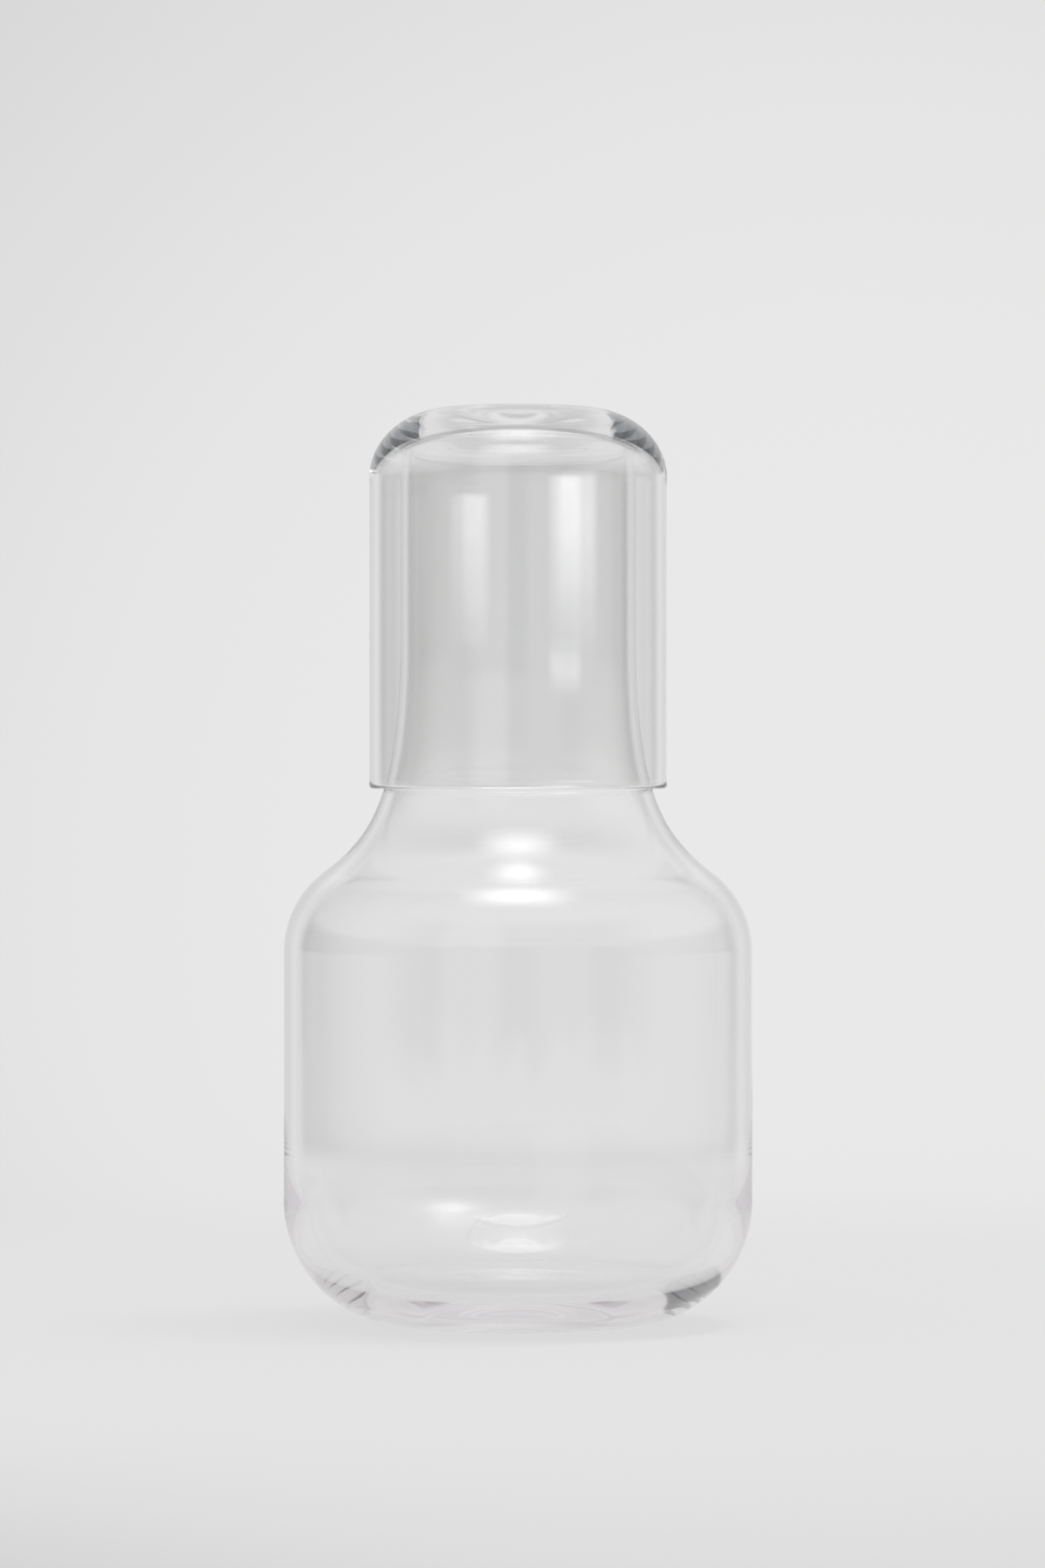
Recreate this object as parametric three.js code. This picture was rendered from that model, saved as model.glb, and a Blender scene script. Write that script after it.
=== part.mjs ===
import * as THREE from 'three';

// Blown-glass water carafe, with its drinking tumbler turned over the neck as a cap.
// Millimetres, +Z up. The origin is at the centre of the foot, on the surface it stands on.

// Carafe: outer form
const BODY_DIAMETER = 100;
const FOOT_CORNER_RADIUS = 26.4; // round from the foot to the upright wall
const WALL_HEIGHT = 53.2; // upright wall from the foot corner to the shoulder
const SHOULDER_RADIUS = 21.1; // round at the top of the wall
const SHOULDER_ANGLE = 52.4; // degrees that the shoulder leans in before it turns into the flare
const FLARE_HEIGHT = 49; // hollow sweep from the shoulder up to the straight neck
const FLARE_SHOULDER_PULL = 0.21; // how long the flare keeps the shoulder's lean, as a share of its height
const FLARE_NECK_PULL = 0.74; // how long it runs along the neck, as a share of its height
const NECK_DIAMETER = 50.4;
const NECK_HEIGHT = 43.4; // straight neck from the flare to the top of the lip
const PUSH_UP_DEPTH = 0.3; // hollow under the foot
const FOOT_RING_WIDTH = 5; // flat ring that it stands on

// Carafe: glass thickness
const BODY_WALL = 2.5;
const NECK_WALL = 1.5;
const BASE_THICKNESS = 7;
const INNER_CORNER_WIDTH = 20; // turn inside the heavy base, along the floor
const INNER_CORNER_HEIGHT = 43.5; // and up the wall, which thickens gently on its way down

// Tumbler, and how it sits on the carafe
const NECK_GAP = 4.95; // air between the neck and the tumbler's wall
const RIM_GAP = 1.5; // air between the tumbler's rim and the flare beside it
const SEAT_GAP = 0.3; // between the lip and the inside of the tumbler that rests on it
const TUMBLER_WALL = 1.65;
const TUMBLER_BASE = 4.3;
const TUMBLER_CORNER_WIDTH = 17.8;
const TUMBLER_CORNER_HEIGHT = 14.9;
const TUMBLER_INNER_CORNER_WIDTH = 14;
const TUMBLER_INNER_CORNER_HEIGHT = 11.5;
const TUMBLER_RING_WIDTH = 4; // flat ring that the tumbler stands on when it is in use
const TUMBLER_PUSH_UP_DEPTH = 0.2;

// How finely the round forms are cut
const AROUND = 60;
const CORNER_STEPS = 9;
const FLARE_STEPS = 8;
const LIP_STEPS = 6;
const PUSH_UP_STEPS = 6;
const HEAVY_CORNER_STEPS = 12;

const QUARTER = Math.PI / 2;
const lean = THREE.MathUtils.degToRad(SHOULDER_ANGLE);

const bodyRadius = BODY_DIAMETER / 2;
const neckRadius = NECK_DIAMETER / 2;
const wallTop = FOOT_CORNER_RADIUS + WALL_HEIGHT;
const shoulderTop = wallTop + SHOULDER_RADIUS * Math.sin(lean);
const neckBottom = shoulderTop + FLARE_HEIGHT;
const lipTop = neckBottom + NECK_HEIGHT;
const tumblerInnerRadius = neckRadius + NECK_GAP;

// A profile is drawn with x as the radius and y as the height.
function point(radius, height) {
  return new THREE.Vector2(radius, height);
}

function arc(centre, width, height, from, to, steps) {
  const curve = new THREE.EllipseCurve(centre.x, centre.y, width, height, from, to, to < from);
  return curve.getPoints(steps);
}

// A shallow hollow from the axis out to the flat ring, which it runs into smoothly.
function pushUp(depth, ringInside) {
  const middle = ringInside / 2;
  const ends = [point(0, depth), point(middle, depth), point(middle, 0), point(ringInside, 0)];
  return new THREE.CubicBezierCurve(...ends).getPoints(PUSH_UP_STEPS);
}

// The inside of a heavy base: the wall thickens gently on its way down, then turns into the floor.
function heavyCorner(centre, width, height) {
  return Array.from({ length: HEAVY_CORNER_STEPS + 1 }, (_, i) => {
    const turn = (QUARTER * i) / HEAVY_CORNER_STEPS;
    const along = Math.cos(turn) * Math.sqrt(1 + Math.sin(turn) ** 2);
    return point(centre.x + width * along, centre.y - height * Math.sin(turn));
  });
}

// The shoulder leans in as an arc, then one sweep carries it up into the neck.
function shoulderArc(wall) {
  const centre = point(bodyRadius - SHOULDER_RADIUS, wallTop);
  const radius = SHOULDER_RADIUS - wall;
  return arc(centre, radius, radius, 0, lean, CORNER_STEPS);
}

function flareCurve(start, topRadius) {
  const height = neckBottom - start.y;
  const shoulderPull = height * FLARE_SHOULDER_PULL;
  const alongShoulder = point(start.x - shoulderPull * Math.sin(lean), start.y + shoulderPull * Math.cos(lean));
  const belowNeck = point(topRadius, neckBottom - height * FLARE_NECK_PULL);
  return new THREE.CubicBezierCurve(start, alongShoulder, belowNeck, point(topRadius, neckBottom));
}

// A fire-polished edge, as thick as its wall and fully round, from the outside over to the inside.
function roundEdge(outerRadius, wall, top) {
  const half = wall / 2;
  return arc(point(outerRadius - half, top - half), half, half, 0, Math.PI, LIP_STEPS);
}

// Neighbouring stretches share their end points, so each point that repeats is left out.
function joined(...stretches) {
  return stretches.flat().filter((p, i, all) => i === 0 || p.distanceTo(all[i - 1]) > 1e-6);
}

function glass(name, colour) {
  const material = new THREE.MeshStandardMaterial({
    color: colour,
    roughness: 0.04,
    metalness: 0,
    transparent: true,
    opacity: 0.35,
  });
  material.name = name;
  return material;
}

const outerShoulder = shoulderArc(0);
const innerShoulder = shoulderArc(BODY_WALL);
const outerFlare = flareCurve(outerShoulder.at(-1), neckRadius);
const innerFlare = flareCurve(innerShoulder.at(-1), neckRadius - NECK_WALL);
const lip = roundEdge(neckRadius, NECK_WALL, lipTop);

function carafeProfile() {
  const footRadius = bodyRadius - FOOT_CORNER_RADIUS;
  const innerRadius = bodyRadius - BODY_WALL;
  const floorRadius = innerRadius - INNER_CORNER_WIDTH;
  const cornerCentre = point(footRadius, FOOT_CORNER_RADIUS);
  const innerCentre = point(floorRadius, BASE_THICKNESS + INNER_CORNER_HEIGHT);
  return joined(
    pushUp(PUSH_UP_DEPTH, footRadius - FOOT_RING_WIDTH),
    arc(cornerCentre, FOOT_CORNER_RADIUS, FOOT_CORNER_RADIUS, -QUARTER, 0, CORNER_STEPS),
    outerShoulder,
    outerFlare.getPoints(FLARE_STEPS),
    lip,
    innerFlare.getPoints(FLARE_STEPS).reverse(),
    [...innerShoulder].reverse(),
    heavyCorner(innerCentre, INNER_CORNER_WIDTH, INNER_CORNER_HEIGHT),
    [point(0, BASE_THICKNESS)],
  );
}

// How far the rounded inside of the tumbler comes down, at a radius, from the flat of its base.
function insideDrop(radius) {
  const flatRadius = tumblerInnerRadius - TUMBLER_INNER_CORNER_WIDTH;
  const along = Math.max(0, radius - flatRadius) / TUMBLER_INNER_CORNER_WIDTH;
  return TUMBLER_INNER_CORNER_HEIGHT * (1 - Math.sqrt(1 - along ** 2));
}

// The rim hangs where the flare has come within the rim gap of the tumbler's inside.
function rimHeight() {
  const clear = tumblerInnerRadius - RIM_GAP;
  let low = 0;
  let high = 1;
  while (high - low > 1e-9) {
    const middle = (low + high) / 2;
    if (outerFlare.getPoint(middle).x > clear) low = middle;
    else high = middle;
  }
  return outerFlare.getPoint(high).y;
}

const seatHeight = Math.max(...lip.map((p) => p.y + insideDrop(p.x))) + SEAT_GAP;
const totalHeight = seatHeight + TUMBLER_BASE;
const tumblerHeight = totalHeight - rimHeight();

// The tumbler is drawn standing on its own base, as it is used.
function tumblerProfile() {
  const outerRadius = tumblerInnerRadius + TUMBLER_WALL;
  const footRadius = outerRadius - TUMBLER_CORNER_WIDTH;
  const flatRadius = tumblerInnerRadius - TUMBLER_INNER_CORNER_WIDTH;
  const cornerCentre = point(footRadius, TUMBLER_CORNER_HEIGHT);
  const innerCentre = point(flatRadius, TUMBLER_BASE + TUMBLER_INNER_CORNER_HEIGHT);
  return joined(
    pushUp(TUMBLER_PUSH_UP_DEPTH, footRadius - TUMBLER_RING_WIDTH),
    arc(cornerCentre, TUMBLER_CORNER_WIDTH, TUMBLER_CORNER_HEIGHT, -QUARTER, 0, CORNER_STEPS),
    roundEdge(outerRadius, TUMBLER_WALL, tumblerHeight),
    arc(innerCentre, TUMBLER_INNER_CORNER_WIDTH, TUMBLER_INNER_CORNER_HEIGHT, 0, -QUARTER, CORNER_STEPS),
    [point(0, TUMBLER_BASE)],
  );
}

const carafe = new THREE.Mesh(
  new THREE.LatheGeometry(carafeProfile(), AROUND),
  glass('carafe_glass', 0xe4e6e6),
);
carafe.name = 'carafe';
carafe.rotation.x = QUARTER;

const tumbler = new THREE.Mesh(
  new THREE.LatheGeometry(tumblerProfile(), AROUND),
  glass('tumbler_glass', 0xe2e4e5),
);
tumbler.name = 'tumbler';
tumbler.rotation.x = -QUARTER;
tumbler.position.z = totalHeight;

const group = new THREE.Group();
group.add(carafe, tumbler);

export default group;
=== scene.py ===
"""Clear blown-glass carafe with its tumbler turned over the neck, in a plain pale studio.

Metres, +Z up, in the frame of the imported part. The camera stands on the -Y side.
"""
import math
from types import SimpleNamespace

import bpy
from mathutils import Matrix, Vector


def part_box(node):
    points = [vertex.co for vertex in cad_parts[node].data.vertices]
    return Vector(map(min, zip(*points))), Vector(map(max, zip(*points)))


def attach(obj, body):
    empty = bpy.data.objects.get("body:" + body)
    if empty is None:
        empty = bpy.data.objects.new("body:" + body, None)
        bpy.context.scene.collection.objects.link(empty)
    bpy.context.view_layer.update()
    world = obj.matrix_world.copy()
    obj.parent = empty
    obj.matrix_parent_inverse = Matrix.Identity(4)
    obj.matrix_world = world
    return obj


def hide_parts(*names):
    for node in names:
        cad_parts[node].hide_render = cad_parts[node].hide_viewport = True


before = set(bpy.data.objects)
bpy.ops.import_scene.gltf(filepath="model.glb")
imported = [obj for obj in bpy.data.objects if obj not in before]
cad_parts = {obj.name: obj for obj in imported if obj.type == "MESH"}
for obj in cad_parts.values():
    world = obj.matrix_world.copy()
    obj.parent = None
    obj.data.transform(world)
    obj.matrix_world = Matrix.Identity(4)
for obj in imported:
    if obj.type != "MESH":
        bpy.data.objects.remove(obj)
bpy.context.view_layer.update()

MM = 0.001

# Sizes from the frame
carafe_low, carafe_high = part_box("carafe")
tumbler_low, tumbler_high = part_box("tumbler")
BODY_RADIUS = carafe_high.x
LIP_TOP = carafe_high.z
TUMBLER_RADIUS = tumbler_high.x
TUMBLER_TOP = tumbler_high.z
TUMBLER_RIM = tumbler_low.z

# Carafe: outer form
FOOT_CORNER_RADIUS = 26.4 * MM
WALL_HEIGHT = 53.2 * MM
SHOULDER_RADIUS = 21.1 * MM
SHOULDER_LEAN = math.radians(52.4)
FLARE_SHOULDER_PULL = 0.21
FLARE_NECK_PULL = 0.74
NECK_RADIUS = 25.2 * MM
NECK_HEIGHT = 43.4 * MM
PUSH_UP_DEPTH = 0.3 * MM
FOOT_RING_WIDTH = 5 * MM

# Carafe: glass thickness
BODY_WALL = 2.5 * MM
NECK_WALL = 1.5 * MM
BASE_THICKNESS = 7 * MM
INNER_CORNER_WIDTH = 20 * MM
INNER_CORNER_HEIGHT = 43.5 * MM

# Tumbler
TUMBLER_WALL = 1.65 * MM
TUMBLER_BASE = 4.3 * MM
TUMBLER_CORNER_WIDTH = 17.8 * MM
TUMBLER_CORNER_HEIGHT = 14.9 * MM
TUMBLER_INNER_CORNER_WIDTH = 14 * MM
TUMBLER_INNER_CORNER_HEIGHT = 11.5 * MM
TUMBLER_RING_WIDTH = 4 * MM
TUMBLER_PUSH_UP_DEPTH = 0.2 * MM

# Fineness of the round forms
AROUND = 180
STEP = 1.2 * MM  # longest step along a profile
SAME_POINT = 1e-8
ARC_STEPS = 40
EDGE_STEPS = 16

# Glass
GLASS_IOR = 1.52
GLASS_VIOLET = (0.2, 0.0, 0.15, 1)  # what is left of the light after a long way through the glass
CARAFE_TINT = (0.981, 0.981, 0.98, 1)
CARAFE_DENSITY = 1.4
TUMBLER_TINT = (0.98, 0.98, 0.979, 1)
TUMBLER_DENSITY = 0.5
WAVE_SCALE = 55.0
WAVE_STRENGTH = 0.02
WAVE_DEPTH = 1 * MM
SMEAR_SCALE = 90.0
SMEAR_EDGE = (0.45, 0.75)
SMEAR_ROUGHNESS = 0.02

# The photograph's view: its frame is 1200 x 1800 and the horizon runs through its middle
FRAME_HEIGHT = 1800
FRAME_CENTRE = (600, 900)
FOCAL_LENGTH = 7500  # in frame pixels
PIXELS_PER_METRE = 5377  # at the axis of the carafe
FOOT_ROW = 1520  # frame row of the floor under the axis
AXIS_COLUMN = 595  # frame column of the axis
SENSOR_HEIGHT = 36  # millimetres, along the long side of the frame

# The studio's directions are in degrees: azimuth from +Y, behind the object, towards +X, and elevation.
# An edge, a reach, a top or a bottom is two angles, between which one thing goes over into the next.
# A level is a strength of light, where 1 is white.

# The pale backdrop, which is all that the camera and looks straight through the glass see
BACKDROP_EDGE_LEVEL = 0.64  # far from its bright middle
BACKDROP_GLOW = 0.175  # how much brighter its middle is
GLOW_AZIMUTH = 3
GLOW_ELEVATION = -1
GLOW_SIZE = 10.4
FOREGROUND_SHARE = 0.87  # how much of its light is left in the foreground
FOREGROUND_EDGE = (-2.5, -9)
TOP_LEVEL = 0.82  # above the view
TOP_EDGE = (10, 22)
ROUND_LEVEL = 0.76  # at the sides and in front
ROUND_EDGE = (12, 36)  # to each side

# The room that looks reflected by the glass see
BACKDROP_REACH = (42, 50)  # to each side
WALL_REACH = (98, 138)  # to each side, where the walls go over into the front
WALL_LEVELS = (0.34, 0.38)  # left and right
SIDES_MEET = (-20, 20)  # where left goes over into right
WALL_TOP = (10, 18)
SIDE_TABLE_LEVEL = 0.6  # below the walls
SIDE_TABLE_EDGE = (-1, 0.5)
CEILING_LEVEL = 0.75
CEILING_EDGE = (30, 45)
FRONT_LEVEL = 0.17
FRONT_EDGE = (-2.0, -2.6)  # where the front goes over into the table
FAR_TABLE_LEVEL = 0.55
FAR_TABLE_EDGE = (-2.9, -3.9)
WINDOW_LEVEL = 0.55  # in front, to the left of the camera
WINDOW_AZIMUTH = -156
WINDOW_REACH = (10, 20)
RAGGED_SCALE = 4.0
RAGGED_DETAIL = 3.0
RAGGED_ASIDE = 16  # how far upright edges wander
RAGGED_TABLE = 1.6  # how far the edges of the table wander

# A painted grey reflection: a grey band above the backdrop. Only looks reflected once after two refractions see
# it, so the near side of the tumbler's base mirrors it
PAINTED_GREY_REFLECTION_LEVEL = 0.4
PAINTED_GREY_REFLECTION_BOTTOM = (29, 33)
PAINTED_GREY_REFLECTION_TOP = (50, 46)
PAINTED_GREY_REFLECTION_REACH = (38, 30)

# A painted highlight: a bright patch in the world, in front on the right. Only looks reflected once after more
# than three refractions see it, so only the far side of the body mirrors it
PAINTED_HIGHLIGHT_LEVEL = 3.8
PAINTED_HIGHLIGHT_PLACE = (131, 46)
PAINTED_HIGHLIGHT_SIZE = (18, 12)

# What looks see that are reflected many times on their way along the heavy corners: painted dark reflections,
# black to grey on the left and lighter on the right, which no other look sees
ALONG_GLASS = 5  # they are reflected more often than this
ROUND_AND_ROUND = 19  # and those reflected more often than this see only the level of the ceiling
BLACK_LEVEL = 0.02
DARK_TINT = (0.6, 0.78, 1, 1)
DARK_TINT_EDGE = (0.0, 0.3)  # levels, from fully tinted to plain
PAINTED_DARK_LEFT_REACH = (155, 145)
PAINTED_DARK_LEFT_BOTTOM = (-25, -20)
PAINTED_DARK_LEFT_EDGE = (-4.5, -3.2)  # where it goes over from black into grey
PAINTED_DARK_LEFT_RISE = 14  # how much higher that is towards the front
PAINTED_DARK_LEFT_RISE_EDGE = (108, 118)
PAINTED_DARK_LEFT_GREY = 0.25
PAINTED_DARK_LEFT_TOP = (14, 9)
PAINTED_RIGHT_LEVEL = 0.62  # in the place that the painted dark reflection has on the left

# Two curved cards beside the object for the same looks, black below and grey above: glowing sheets that paint
# dark reflections into the heavy corners
CARD_DISTANCE = 0.4
CARD_REACH = (46, 150)  # degrees to the side, from end to end
CARD_HEIGHTS = (0.068, 0.24)
CARD_STRIPE = (0.15, 0.16)  # heights where black goes over into grey
PAINTED_CARD_GREY = 0.2
PAINTED_CARD_TINT = (0.82, 0.92, 1, 1)
CARD_STEPS = 52

# The floor
AMBIENT_LEVEL = 0.4  # what it gets from all round
FLOOR_COLOUR = (0.8, 0.8, 0.8, 1)
FLOOR_LEVEL = 0.8
FLOOR_SHINE = 0.84  # share of its light that comes up through it
FLOOR_REACH = (0.2, 0.5)  # metres, from where it starts to go over into the backdrop to where it ends
FLOOR_GAP = 0.15 * MM  # air under the foot ring

# Lamps: metres, and the share of the width and the height over which each fades to its edges
SOFTBOX = dict(place=(0, -0.36, 1.3), target=(0, -0.1, 0.1), size=(1.1, 0.75), level=4.5, fade=(0.5, 0.5))
STRIP = dict(place=(1.61, -1.5, 0.28), target=(0, 0, 0.28), size=(1.6, 0.24), level=2.2, fade=(0.25, 0.5))
KEY = dict(place=(0.38, 0, 1.5), target=(0, 0, 0), size=(0.4, 0.4), level=15.0, fade=(0.1, 0.1))

BOUNCES = 160  # a look along a heavy corner is reflected inside it a dozen times and more

QUARTER = math.pi / 2
WHITE = (1, 1, 1, 1)


# Profiles are lists of (radius, height).
def arc(centre, width, height, start, end, steps=ARC_STEPS):
    angles = [start + (end - start) * i / steps for i in range(steps + 1)]
    return [(centre[0] + width * math.cos(a), centre[1] + height * math.sin(a)) for a in angles]


def bezier(a, b, c, d, steps=ARC_STEPS):
    points = []
    for i in range(steps + 1):
        t = i / steps
        weights = ((1 - t) ** 3, 3 * t * (1 - t) ** 2, 3 * t * t * (1 - t), t ** 3)
        points.append(tuple(sum(w * p[k] for w, p in zip(weights, (a, b, c, d))) for k in (0, 1)))
    return points


def push_up(depth, ring_inside):
    """A shallow hollow from the axis out to the flat ring, which it runs into smoothly."""
    return bezier((0, depth), (ring_inside / 2, depth), (ring_inside / 2, 0), (ring_inside, 0))


def heavy_corner(centre, width, height):
    """The inside of a heavy base: the wall thickens gently on its way down, then turns into the floor."""
    points = []
    for i in range(ARC_STEPS + 1):
        turn = QUARTER * i / ARC_STEPS
        along = math.cos(turn) * math.sqrt(1 + math.sin(turn) ** 2)
        points.append((centre[0] + width * along, centre[1] - height * math.sin(turn)))
    return points


def round_edge(outer_radius, wall, top):
    """A fire-polished edge, as thick as its wall and fully round, from the outside over to the inside."""
    half = wall / 2
    return arc((outer_radius - half, top - half), half, half, 0, math.pi, EDGE_STEPS)


def joined(*stretches):
    """One profile from several stretches, with no repeated point and no step longer than STEP."""
    points = [stretches[0][0]]
    for stretch in stretches:
        for p in stretch:
            last = points[-1]
            gap = math.dist(last, p)
            if gap < SAME_POINT:
                continue
            cuts = math.ceil(gap / STEP)
            points += [tuple(last[k] + (p[k] - last[k]) * i / cuts for k in (0, 1)) for i in range(1, cuts + 1)]
    return points


def carafe_profile():
    wall_top = FOOT_CORNER_RADIUS + WALL_HEIGHT
    neck_bottom = LIP_TOP - NECK_HEIGHT
    foot_radius = BODY_RADIUS - FOOT_CORNER_RADIUS
    floor_radius = BODY_RADIUS - BODY_WALL - INNER_CORNER_WIDTH
    inner_centre = (floor_radius, BASE_THICKNESS + INNER_CORNER_HEIGHT)

    def shoulder(wall):
        radius = SHOULDER_RADIUS - wall
        return arc((BODY_RADIUS - SHOULDER_RADIUS, wall_top), radius, radius, 0, SHOULDER_LEAN)

    def flare(start, top_radius):
        height = neck_bottom - start[1]
        pull = height * FLARE_SHOULDER_PULL
        along = (start[0] - pull * math.sin(SHOULDER_LEAN), start[1] + pull * math.cos(SHOULDER_LEAN))
        below = (top_radius, neck_bottom - height * FLARE_NECK_PULL)
        return bezier(start, along, below, (top_radius, neck_bottom))

    outer, inner = shoulder(0), shoulder(BODY_WALL)
    return joined(
        push_up(PUSH_UP_DEPTH, foot_radius - FOOT_RING_WIDTH),
        arc((foot_radius, FOOT_CORNER_RADIUS), FOOT_CORNER_RADIUS, FOOT_CORNER_RADIUS, -QUARTER, 0),
        outer,
        flare(outer[-1], NECK_RADIUS),
        round_edge(NECK_RADIUS, NECK_WALL, LIP_TOP),
        flare(inner[-1], NECK_RADIUS - NECK_WALL)[::-1],
        inner[::-1],
        heavy_corner(inner_centre, INNER_CORNER_WIDTH, INNER_CORNER_HEIGHT),
        [(0, BASE_THICKNESS)],
    )


def tumbler_profile():
    """Drawn standing on its own base, then turned over."""
    height = TUMBLER_TOP - TUMBLER_RIM
    foot_radius = TUMBLER_RADIUS - TUMBLER_CORNER_WIDTH
    flat_radius = TUMBLER_RADIUS - TUMBLER_WALL - TUMBLER_INNER_CORNER_WIDTH
    outer_centre = (foot_radius, TUMBLER_CORNER_HEIGHT)
    inner_centre = (flat_radius, TUMBLER_BASE + TUMBLER_INNER_CORNER_HEIGHT)
    upright = joined(
        push_up(TUMBLER_PUSH_UP_DEPTH, foot_radius - TUMBLER_RING_WIDTH),
        arc(outer_centre, TUMBLER_CORNER_WIDTH, TUMBLER_CORNER_HEIGHT, -QUARTER, 0),
        round_edge(TUMBLER_RADIUS, TUMBLER_WALL, height),
        arc(inner_centre, TUMBLER_INNER_CORNER_WIDTH, TUMBLER_INNER_CORNER_HEIGHT, 0, -QUARTER),
        [(0, TUMBLER_BASE)],
    )
    return [(r, TUMBLER_TOP - z) for r, z in reversed(upright)]


def mesh_object(name, vertices, faces):
    mesh = bpy.data.meshes.new(name)
    mesh.from_pydata(vertices, [], faces)
    thing = bpy.data.objects.new(name, mesh)
    bpy.context.scene.collection.objects.link(thing)
    return thing


def lathe(name, profile):
    """A smooth closed mesh of revolution. The profile starts and ends on the axis."""
    angles = [2 * math.pi * k / AROUND for k in range(AROUND)]
    turns = [(math.cos(a), math.sin(a)) for a in angles]
    rings = profile[1:-1]
    vertices = [(0, 0, profile[0][1])]
    vertices += [(r * c, r * s, z) for r, z in rings for c, s in turns]
    vertices += [(0, 0, profile[-1][1])]
    last = len(vertices) - 1

    def at(ring, k):
        return 1 + ring * AROUND + k % AROUND

    faces = []
    for k in range(AROUND):
        faces.append((0, at(0, k + 1), at(0, k)))
        faces.append((last, at(len(rings) - 1, k), at(len(rings) - 1, k + 1)))
        for i in range(len(rings) - 1):
            faces.append((at(i, k), at(i, k + 1), at(i + 1, k + 1), at(i + 1, k)))
    piece = mesh_object(name, vertices, faces)
    piece.data.shade_smooth()
    return piece


class Nodes:
    """A node tree written as formulas: each method adds nodes and gives back what they put out."""

    def __init__(self, owner):
        owner.use_nodes = True
        self.tree = owner.node_tree
        self.tree.nodes.clear()

    def add(self, kind, inputs=None, **settings):
        node = self.tree.nodes.new("ShaderNode" + kind)
        for name, value in settings.items():
            setattr(node, name, value)
        for key, value in (inputs or {}).items():
            if isinstance(value, bpy.types.NodeSocket):
                self.tree.links.new(value, node.inputs[key])
            else:
                node.inputs[key].default_value = value
        return node.outputs

    def calc(self, operation, a, b=0.0, c=0.0):
        return self.add("Math", {0: a, 1: b, 2: c}, operation=operation)[0]

    def product(self, first, *others):
        for other in others:
            first = self.calc("MULTIPLY", first, other)
        return first

    def square(self, value):
        return self.calc("POWER", value, 2)

    def fall_off(self, distance):
        """1 at no distance, falling off as a bell."""
        return self.calc("EXPONENT", self.calc("MULTIPLY", self.square(distance), -1))

    def ramp(self, value, start, end, low=0.0, high=1.0):
        """Goes smoothly from low to high as value goes from start to end."""
        inputs = {"Value": value, "From Min": start, "From Max": end, "To Min": low, "To Max": high}
        return self.add("MapRange", inputs, interpolation_type="SMOOTHSTEP")["Result"]

    def blend(self, share, a, b):
        """a where share is 0 and b where it is 1, for plain numbers."""
        return self.add("Mix", {"Factor": share, "A": a, "B": b}, data_type="FLOAT")["Result"]

    def more_than(self, count, number):
        return self.calc("GREATER_THAN", count, number + 0.5)

    def exactly(self, count, number):
        return self.calc("COMPARE", count, number, 0.5)

    def any_of(self, a, *others):
        for other in others:
            a = self.calc("MAXIMUM", a, other)
        return a


def glass(name, tint, density):
    """Clear glass, a little wavy and with faint smears. Long looks through it go grey with a hint of violet."""
    material = bpy.data.materials.new(name)
    nodes = Nodes(material)
    place = nodes.add("TexCoord")["Object"]
    waves = nodes.add("TexNoise", {"Vector": place, "Scale": WAVE_SCALE, "Detail": 1.0})["Fac"]
    smears = nodes.add("TexNoise", {"Vector": place, "Scale": SMEAR_SCALE, "Detail": 4.0})["Fac"]
    relief = nodes.add("Bump", {"Height": waves, "Strength": WAVE_STRENGTH, "Distance": WAVE_DEPTH})["Normal"]
    surface = nodes.add("BsdfPrincipled", {
        "Base Color": tint,
        "Roughness": nodes.ramp(smears, *SMEAR_EDGE, 0.0, SMEAR_ROUGHNESS),
        "IOR": GLASS_IOR,
        "Transmission Weight": 1.0,
        "Normal": relief,
    })["BSDF"]
    inside = nodes.add("VolumeAbsorption", {"Color": GLASS_VIOLET, "Density": density})["Volume"]
    nodes.add("OutputMaterial", {"Surface": surface, "Volume": inside})
    return material


def look_that_leaves(nodes):
    """Where a look goes that reaches the world, and how often it was reflected and refracted before."""
    direction = nodes.add("TexCoord")["Generated"]
    axes = nodes.add("SeparateXYZ", {0: direction})
    azimuth = nodes.calc("DEGREES", nodes.calc("ARCTAN2", axes["X"], axes["Y"]))
    elevation = nodes.calc("DEGREES", nodes.calc("ARCSINE", axes["Z"]))
    aside = nodes.calc("ABSOLUTE", azimuth)
    noise = nodes.add("TexNoise", {"Vector": direction, "Scale": RAGGED_SCALE, "Detail": RAGGED_DETAIL})["Fac"]
    wander = nodes.calc("SUBTRACT", noise, 0.5)
    path = nodes.add("LightPath")
    return SimpleNamespace(
        azimuth=azimuth,
        elevation=elevation,
        aside=aside,
        ragged_aside=nodes.calc("MULTIPLY_ADD", wander, RAGGED_ASIDE, aside),
        ragged_elevation=nodes.calc("MULTIPLY_ADD", wander, RAGGED_TABLE, elevation),
        rightwards=nodes.ramp(azimuth, *SIDES_MEET),
        reflections=path["Glossy Depth"],
        refractions=path["Transmission Depth"],
        path=path,
    )


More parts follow.
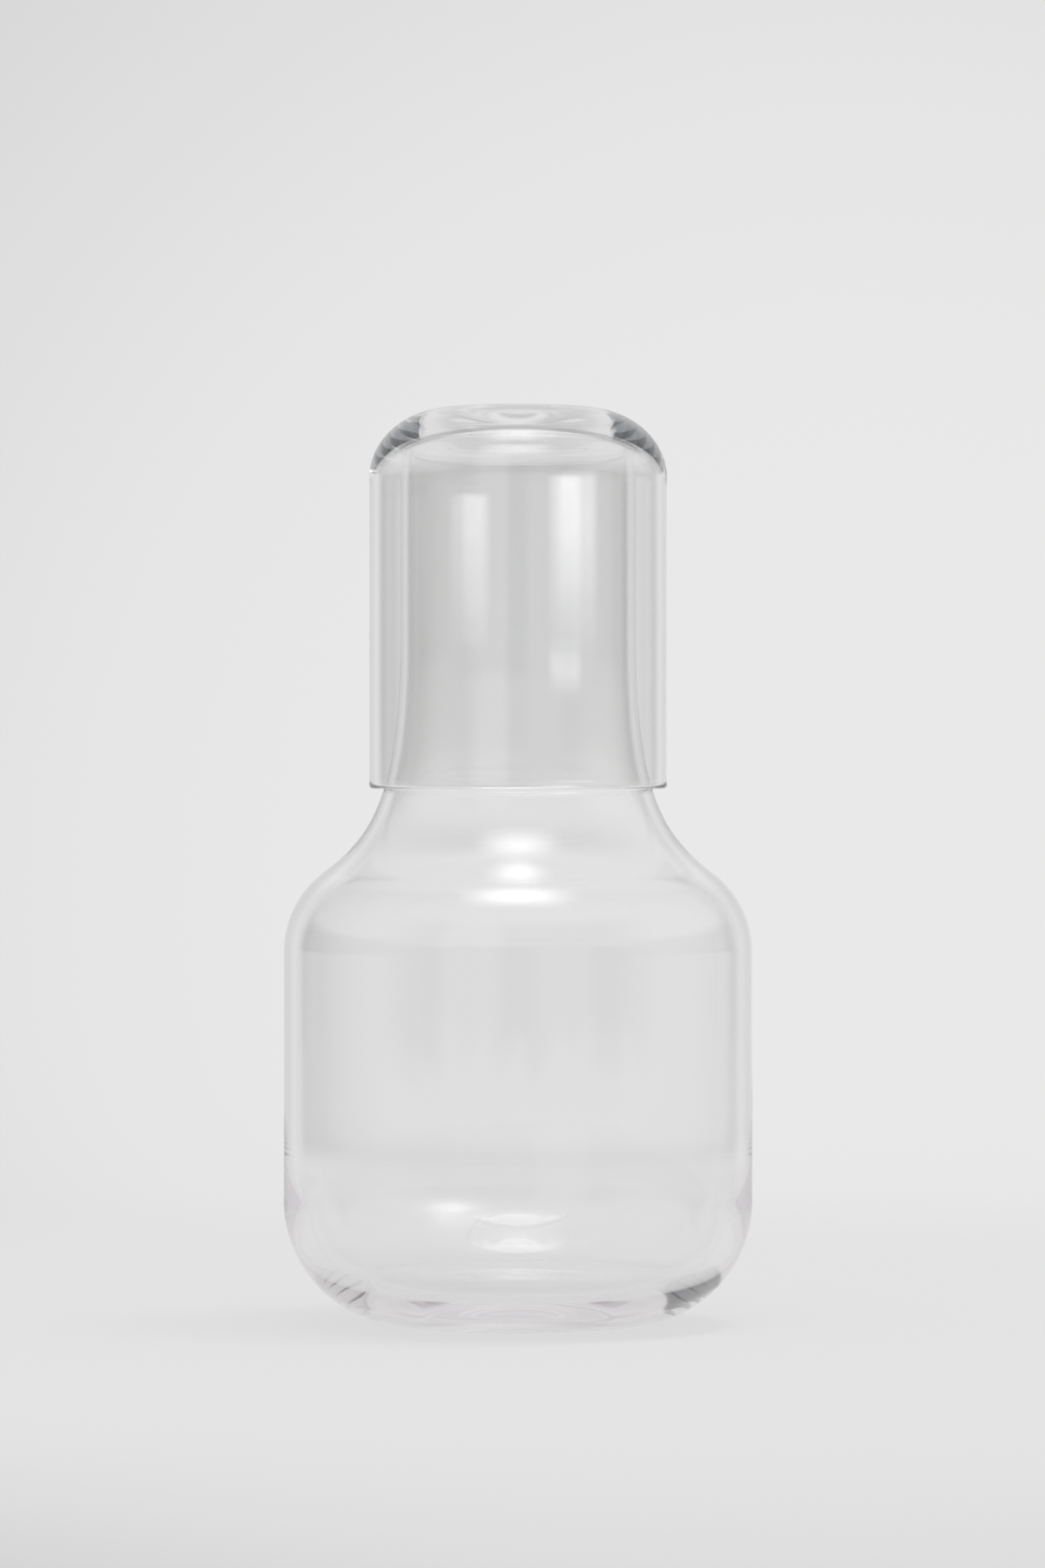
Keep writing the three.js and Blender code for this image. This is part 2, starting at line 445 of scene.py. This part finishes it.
def backdrop_level(nodes, look):
    glow_aside = nodes.calc("SUBTRACT", look.azimuth, GLOW_AZIMUTH)
    glow_above = nodes.calc("SUBTRACT", look.elevation, GLOW_ELEVATION)
    off = nodes.calc("ADD", nodes.square(glow_aside), nodes.square(glow_above))
    glow = nodes.fall_off(nodes.calc("DIVIDE", off, GLOW_SIZE ** 2))
    level = nodes.calc("MULTIPLY_ADD", glow, BACKDROP_GLOW, BACKDROP_EDGE_LEVEL)
    level = nodes.blend(nodes.ramp(look.elevation, *TOP_EDGE), level, TOP_LEVEL)
    level = nodes.product(level, nodes.ramp(look.elevation, *FOREGROUND_EDGE, 1.0, FOREGROUND_SHARE))
    return nodes.blend(nodes.ramp(look.aside, *ROUND_EDGE), level, ROUND_LEVEL)


def front_level(nodes, look):
    """The dark front of the room with its window."""
    off_window = nodes.calc("ABSOLUTE", nodes.calc("SUBTRACT", look.azimuth, WINDOW_AZIMUTH))
    return nodes.blend(nodes.ramp(off_window, *WINDOW_REACH), WINDOW_LEVEL, FRONT_LEVEL)


def table_level(nodes, look, backdrop):
    far = nodes.blend(nodes.ramp(look.ragged_aside, *WALL_REACH), backdrop, FAR_TABLE_LEVEL)
    return nodes.blend(nodes.ramp(look.ragged_elevation, *FAR_TABLE_EDGE), far, backdrop)


def wall_level(nodes, look):
    level = nodes.blend(look.rightwards, *WALL_LEVELS)
    level = nodes.blend(nodes.ramp(look.elevation, *SIDE_TABLE_EDGE), SIDE_TABLE_LEVEL, level)
    return nodes.blend(nodes.ramp(look.elevation, *WALL_TOP), level, CEILING_LEVEL)


def room_level(nodes, look, backdrop):
    past_backdrop = nodes.ramp(look.ragged_aside, *BACKDROP_REACH)
    level = nodes.blend(past_backdrop, backdrop, front_level(nodes, look))
    table = table_level(nodes, look, backdrop)
    level = nodes.blend(nodes.ramp(look.ragged_elevation, *FRONT_EDGE), level, table)
    walls = nodes.product(past_backdrop, nodes.ramp(look.ragged_aside, *reversed(WALL_REACH)))
    level = nodes.blend(walls, level, wall_level(nodes, look))
    return nodes.blend(nodes.ramp(look.elevation, *CEILING_EDGE), level, CEILING_LEVEL)


# Where the painted grey reflection is: only looks reflected once after two refractions see it
def painted_grey_reflection_share(nodes, look):
    return nodes.product(
        nodes.ramp(look.elevation, *PAINTED_GREY_REFLECTION_BOTTOM),
        nodes.ramp(look.elevation, *PAINTED_GREY_REFLECTION_TOP),
        nodes.ramp(look.ragged_aside, *PAINTED_GREY_REFLECTION_REACH),
        nodes.exactly(look.reflections, 1),
        nodes.exactly(look.refractions, 2),
    )


# The painted highlight: bright only for looks reflected once after more than three refractions
def painted_highlight_level(nodes, look):
    level = nodes.product(nodes.exactly(look.reflections, 1), nodes.more_than(look.refractions, 3))
    for angle, middle, size in zip((look.azimuth, look.elevation), PAINTED_HIGHLIGHT_PLACE, PAINTED_HIGHLIGHT_SIZE):
        off = nodes.calc("DIVIDE", nodes.calc("SUBTRACT", angle, middle), size)
        level = nodes.product(level, nodes.fall_off(off))
    return nodes.product(level, PAINTED_HIGHLIGHT_LEVEL)


def painted_dark_side_level(nodes, look):
    """The painted dark reflection on the left, and the lighter painted reflection that takes its place on the
    right.
    """
    rise = nodes.ramp(look.ragged_aside, *PAINTED_DARK_LEFT_RISE_EDGE)
    height = nodes.calc("MULTIPLY_ADD", rise, -PAINTED_DARK_LEFT_RISE, look.elevation)
    dark_left = nodes.blend(nodes.ramp(height, *PAINTED_DARK_LEFT_EDGE), BLACK_LEVEL, PAINTED_DARK_LEFT_GREY)
    return nodes.blend(look.rightwards, dark_left, PAINTED_RIGHT_LEVEL)


# Where the painted dark reflections are: only looks reflected more than ALONG_GLASS times along the heavy
# corners see them
def painted_dark_side_share(nodes, look):
    return nodes.product(
        nodes.ramp(look.ragged_aside, *BACKDROP_REACH),
        nodes.ramp(look.ragged_aside, *PAINTED_DARK_LEFT_REACH),
        nodes.ramp(look.elevation, *PAINTED_DARK_LEFT_BOTTOM),
        nodes.ramp(look.elevation, *PAINTED_DARK_LEFT_TOP),
        nodes.more_than(look.reflections, ALONG_GLASS),
    )


def studio_world():
    world = bpy.data.worlds.new("studio")
    bpy.context.scene.world = world
    nodes = Nodes(world)
    look = look_that_leaves(nodes)
    backdrop = backdrop_level(nodes, look)
    room = room_level(nodes, look, backdrop)
    # Paint the grey reflection into the near side of the tumbler's base
    room = nodes.blend(painted_grey_reflection_share(nodes, look), room, PAINTED_GREY_REFLECTION_LEVEL)
    # Paint the dark reflections into the heavy corners
    room = nodes.blend(painted_dark_side_share(nodes, look), room, painted_dark_side_level(nodes, look))
    room = nodes.blend(nodes.more_than(look.reflections, ROUND_AND_ROUND), room, CEILING_LEVEL)
    # Add the painted highlight on the far side of the body
    room = nodes.calc("ADD", room, painted_highlight_level(nodes, look))

    level = nodes.blend(nodes.more_than(look.reflections, 0), backdrop, room)
    through_glass = nodes.any_of(look.path["Is Glossy Ray"], look.path["Is Transmission Ray"])
    seen = nodes.product(through_glass, nodes.exactly(look.path["Diffuse Depth"], 0))
    level = nodes.blend(seen, AMBIENT_LEVEL, level)
    level = nodes.blend(look.path["Is Camera Ray"], level, backdrop)
    plain = nodes.ramp(level, *DARK_TINT_EDGE)
    tint = nodes.add("Mix", {"Factor": plain, 6: DARK_TINT, 7: WHITE}, data_type="RGBA")[2]
    light = nodes.add("Background", {"Color": tint, "Strength": level})["Background"]
    nodes.add("OutputWorld", {"Surface": light})


def floor_paper():
    material = bpy.data.materials.new("floor_paper")
    nodes = Nodes(material)
    place = nodes.add("TexCoord")["Object"]
    reach = nodes.add("VectorMath", {0: place}, operation="LENGTH")["Value"]
    path = nodes.add("LightPath")
    seen = nodes.any_of(path["Is Camera Ray"], path["Is Glossy Ray"], path["Is Transmission Ray"])
    sheet = nodes.add("BsdfDiffuse", {"Color": FLOOR_COLOUR})["BSDF"]
    shine = nodes.add("Emission", {"Strength": nodes.product(seen, FLOOR_LEVEL)})["Emission"]
    lit = nodes.add("MixShader", {0: FLOOR_SHINE, 1: sheet, 2: shine})["Shader"]
    clear = nodes.add("BsdfTransparent")["BSDF"]
    faded = nodes.add("MixShader", {0: nodes.ramp(reach, *FLOOR_REACH), 1: lit, 2: clear})["Shader"]
    nodes.add("OutputMaterial", {"Surface": faded})
    return material


def studio_floor():
    """A pale floor lit from above and from below, so that shadows on it stay faint."""
    side = FLOOR_REACH[1]
    corners = [(-side, -side, 0), (side, -side, 0), (side, side, 0), (-side, side, 0)]
    floor = mesh_object("floor", corners, [(0, 1, 2, 3)])
    floor.location.z = -FLOOR_GAP
    floor.data.materials.append(floor_paper())
    return floor


def painted_dark_card_glow(name):
    """A glowing sheet, black below and grey above, that only looks along the heavy corners of the glass see,
    where it paints dark reflections. All others pass through it.
    """
    material = bpy.data.materials.new(name)
    nodes = Nodes(material)
    height = nodes.add("SeparateXYZ", {0: nodes.add("TexCoord")["Object"]})["Z"]
    # Painted dark reflection: a glow that is black low down and grey higher up
    level = nodes.ramp(height, *CARD_STRIPE, BLACK_LEVEL, PAINTED_CARD_GREY)
    sheet = nodes.add("Emission", {"Color": PAINTED_CARD_TINT, "Strength": level})["Emission"]
    reflections = nodes.add("LightPath")["Glossy Depth"]
    too_often = nodes.more_than(reflections, ROUND_AND_ROUND)
    seen = nodes.calc("SUBTRACT", nodes.more_than(reflections, ALONG_GLASS), too_often)
    clear = nodes.add("BsdfTransparent")["BSDF"]
    mixed = nodes.add("MixShader", {0: seen, 1: clear, 2: sheet})["Shader"]
    nodes.add("OutputMaterial", {"Surface": mixed})
    return material


def painted_dark_card(name, side):
    """A curved card that paints dark reflections into the heavy corners, on the right for a side of 1 and on
    the left for -1.
    """
    start, end = CARD_REACH
    vertices, faces = [], []
    for i in range(CARD_STEPS + 1):
        turn = math.radians(start + (end - start) * i / CARD_STEPS)
        x, y = side * CARD_DISTANCE * math.sin(turn), CARD_DISTANCE * math.cos(turn)
        vertices += [(x, y, height) for height in CARD_HEIGHTS]
    for i in range(0, 2 * CARD_STEPS, 2):
        faces.append((i, i + 1, i + 3, i + 2))
    card = mesh_object(name, vertices, faces)
    card.data.materials.append(painted_dark_card_glow(name))
    card.visible_camera = False
    card.visible_diffuse = False
    card.visible_shadow = False


def lamp(name, place, target, size, level, fade, only=None):
    """A soft rectangular light of this level in its middle. If only is given, it lights nothing else."""
    light = bpy.data.lights.new(name, "AREA")
    light.shape = "RECTANGLE"
    light.size, light.size_y = size
    light.energy = level * math.pi * size[0] * size[1]
    nodes = Nodes(light)
    spot = nodes.add("SeparateXYZ", {0: nodes.add("NewGeometry")["Parametric"]})
    strength = 1.0
    for axis, share in zip("XY", fade):
        off_middle = nodes.calc("ABSOLUTE", nodes.calc("SUBTRACT", spot[axis], 0.5))
        strength = nodes.product(strength, nodes.ramp(off_middle, 0.5, 0.5 - share))
    nodes.add("OutputLight", {"Surface": nodes.add("Emission", {"Strength": strength})["Emission"]})
    holder = bpy.data.objects.new(name, light)
    holder.location = place
    holder.rotation_euler = (Vector(target) - Vector(place)).to_track_quat("-Z", "Y").to_euler()
    holder.visible_camera = False
    bpy.context.scene.collection.objects.link(holder)
    if only:
        lit = bpy.data.collections.new(name + "_lights")
        lit.objects.link(only)
        holder.light_linking.receiver_collection = lit


def photo_camera():
    lens = bpy.data.cameras.new("photo")
    lens.sensor_width = SENSOR_HEIGHT
    lens.lens = SENSOR_HEIGHT * FOCAL_LENGTH / FRAME_HEIGHT
    camera = bpy.data.objects.new("photo", lens)
    camera.location = (
        (FRAME_CENTRE[0] - AXIS_COLUMN) / PIXELS_PER_METRE,
        -FOCAL_LENGTH / PIXELS_PER_METRE,
        (FOOT_ROW - FRAME_CENTRE[1]) / PIXELS_PER_METRE,
    )
    camera.rotation_euler = (QUARTER, 0, 0)
    bpy.context.scene.collection.objects.link(camera)
    bpy.context.scene.camera = camera


def place_glass(piece, node, body, material):
    piece.data.materials.append(material)
    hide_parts(node)
    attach(piece, body)


carafe = lathe("carafe_shell", carafe_profile())
tumbler = lathe("tumbler_shell", tumbler_profile())
carafe_glass = glass("carafe_glass", CARAFE_TINT, CARAFE_DENSITY)
tumbler_glass = glass("tumbler_glass", TUMBLER_TINT, TUMBLER_DENSITY)
place_glass(carafe, "carafe", "carafe_body", carafe_glass)
place_glass(tumbler, "tumbler", "tumbler_body", tumbler_glass)

studio_world()
floor = studio_floor()
painted_dark_card("right_painted_dark_card", 1)
painted_dark_card("left_painted_dark_card", -1)
lamp("softbox", **SOFTBOX)
lamp("strip", **STRIP, only=tumbler)
lamp("key", **KEY, only=floor)
photo_camera()

scene = bpy.context.scene
scene.view_settings.view_transform = "Standard"
scene.cycles.max_bounces = BOUNCES
scene.cycles.glossy_bounces = BOUNCES
scene.cycles.transmission_bounces = BOUNCES
